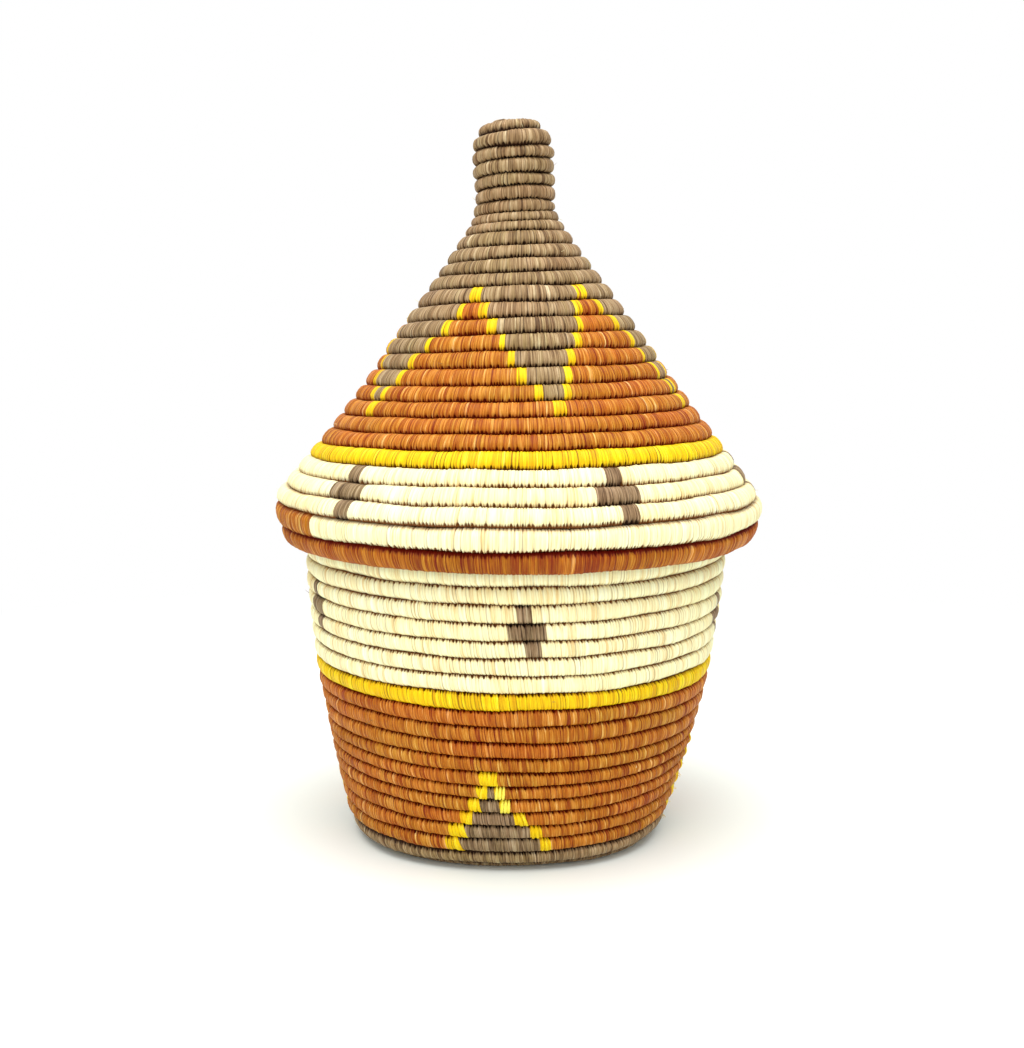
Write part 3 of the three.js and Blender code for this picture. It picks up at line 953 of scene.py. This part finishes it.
def stray_fibre(name, body, dyes, seed, height, azimuth, length, upward):
    """A thin fibre that curls away from the surface at a height and an azimuth."""
    random = np.random.default_rng(seed)
    path = PATHS[body]
    turns = np.arange(0, path.turns[-1], SEARCH_STEP_TURNS)
    near = turns[np.abs(nearest_offset(azimuths(turns, path.side), (azimuth,))) < SEARCH_DEG]
    best = near[np.abs(path.at(near)[HEIGHT] - height * MM).argmin()]
    middle_radius, middle_height, *_, half_thick = path.at(best)
    angle = math.radians(azimuth - 90)
    outward = np.array([math.cos(angle), math.sin(angle), 0])
    swing = random.uniform(-FIBRE_SIDEWAYS, FIBRE_SIDEWAYS)
    sideways = np.array([-math.sin(angle), math.cos(angle), 0]) * swing
    direction = outward + np.array([0, 0, upward]) + sideways
    direction /= np.linalg.norm(direction)
    share = np.linspace(0, 1, FIBRE_SECTIONS)[:, None]
    curl = np.array([0, 0, 1]) * random.uniform(-FIBRE_CURL, FIBRE_CURL) + sideways * FIBRE_CURL
    start = outward * (middle_radius + half_thick * FIBRE_ROOT_SHARE) + np.array([0, 0, middle_height])
    spine = start + length * MM * (direction * share + curl * share ** 2)
    first = np.cross(direction, ASLANT)
    first /= np.linalg.norm(first)
    second = np.cross(direction, first)
    ring = np.linspace(0, 2 * math.pi, FIBRE_ROUND, endpoint=False)[None, :, None]
    thickness = FIBRE_RADIUS * (1 - FIBRE_TAPER * share)[:, None, :]
    points = settle(spine[:, None, :] + thickness * (np.cos(ring) * first + np.sin(ring) * second))
    colour = dyes[int(random.random() < SECOND_DYE_SHARE)]
    plain_piece(name, body, colour, FIBRE_TONE, points, np.zeros(points.shape[:2]), points / MM)


def fray():
    front, right = TRIANGLE_APEXES[0], STEEP_APEXES[0]
    for i, stitch in enumerate(YELLOW_STITCHES):
        tone = LOOSE_YELLOW_TONES[i % len(LOOSE_YELLOW_TONES)]
        loose_stitch(f"loose_stitch_{i + 1:02d}", front, LOOSE_LIFT, tone, YELLOW_SEED + i, *stitch)
    for i, stitch in enumerate(PALE_STITCHES):
        loose_stitch(f"pale_stitch_{i + 1:02d}", front, LOOSE_LIFT, LOOSE_PALE_TONE, PALE_SEED + i, *stitch)
    for i, stitch in enumerate(EDGE_STITCHES):
        tone = LOOSE_YELLOW_TONES[i % len(LOOSE_YELLOW_TONES)]
        loose_stitch(f"edge_stitch_{i + 1:02d}", right, EDGE_LIFT, tone, EDGE_SEED + i, *stitch)
    for body, fibres in STRAY_FIBRES.items():
        for i, fibre in enumerate(fibres):
            stray_fibre(f"stray_fibre_{body}_{i + 1:02d}", body, (TAUPE, CREAM), STRAY_SEED + i, *fibre)
    for i, fibre in enumerate(EDGE_FIBRES):
        stray_fibre(f"edge_fibre_{i + 1:02d}", "basket", (YELLOW, YELLOW), EDGE_FIBRE_SEED + i, *fibre)


# The floor, the background and the light. The floor keeps the basket's shadow, and farther out it fades
# into the white of the background.
FLOOR_HALF = 6.0
FLOOR_DROP = 0.2 * MM
SHADOW_RADIUS = 0.42
FLOOR_FADE_RADIUS = 0.75
FLOOR_SEEN = linear(246, 251, 246)
FLOOR_LIGHTING = linear(235, 242, 239)
WORLD_STRENGTH = 0.66
# Name, place, size and watts of each lamp
LAMPS = (
    ("overhead", (0, -0.35, 1.75), 2.0, 38),
    ("front", (-0.3, -1.7, 0.8), 1.2, 7),
)
LAMP_TARGET = (0, 0, 0.18)


def make_floor():
    mesh = bpy.data.meshes.new("floor")
    half = FLOOR_HALF
    mesh.from_pydata([(-half, -half, 0), (half, -half, 0), (half, half, 0), (-half, half, 0)],
                     [], [(0, 1, 2, 3)])
    floor = bpy.data.objects.new("floor", mesh)
    bpy.context.scene.collection.objects.link(floor)
    floor.location.z = -FLOOR_DROP
    material = bpy.data.materials.new("pale_floor")
    nodes = NodeBuilder(material)
    place = nodes.node("ShaderNodeTexCoord").outputs["Object"]
    distance = nodes.node("ShaderNodeVectorMath", {0: place}, operation="LENGTH").outputs["Value"]
    far = nodes.remap(distance, (SHADOW_RADIUS, FLOOR_FADE_RADIUS), (0.0, 1.0))
    is_camera = nodes.node("ShaderNodeLightPath").outputs["Is Camera Ray"]
    tone = nodes.mix(is_camera, FLOOR_LIGHTING, FLOOR_SEEN)
    paint = nodes.node("ShaderNodeBsdfDiffuse", {"Color": tone})
    glow = nodes.node("ShaderNodeEmission", {"Color": WHITE, "Strength": 1.0})
    share = nodes.maths("MULTIPLY", far, nodes.seen_by_camera())
    surface = nodes.node("ShaderNodeMixShader", {0: share, 1: paint.outputs[0], 2: glow.outputs[0]})
    nodes.node("ShaderNodeOutputMaterial", {"Surface": surface.outputs[0]})
    mesh.materials.append(material)


def make_world():
    world = bpy.data.worlds.new("studio")
    bpy.context.scene.world = world
    nodes = NodeBuilder(world)
    strength = nodes.remap(nodes.seen_by_camera(), (0.0, 1.0), (WORLD_STRENGTH, 1.0))
    background = nodes.node("ShaderNodeBackground", {"Color": WHITE, "Strength": strength})
    nodes.node("ShaderNodeOutputWorld", {"Surface": background.outputs[0]})


def make_lamp(name, place, size, watts):
    data = bpy.data.lights.new(name, "AREA")
    data.shape = "SQUARE"
    data.size = size
    data.energy = watts
    lamp = bpy.data.objects.new(name, data)
    bpy.context.scene.collection.objects.link(lamp)
    lamp.location = place
    aim = [target - start for target, start in zip(LAMP_TARGET, place)]
    flat = math.hypot(aim[0], aim[1])
    lamp.rotation_euler = (math.atan2(flat, -aim[2]), 0, math.atan2(aim[1], aim[0]) - math.pi / 2)


make_camera()
weave_basket()
weave_lid()
fray()
make_floor()
make_world()
for lamp_settings in LAMPS:
    make_lamp(*lamp_settings)
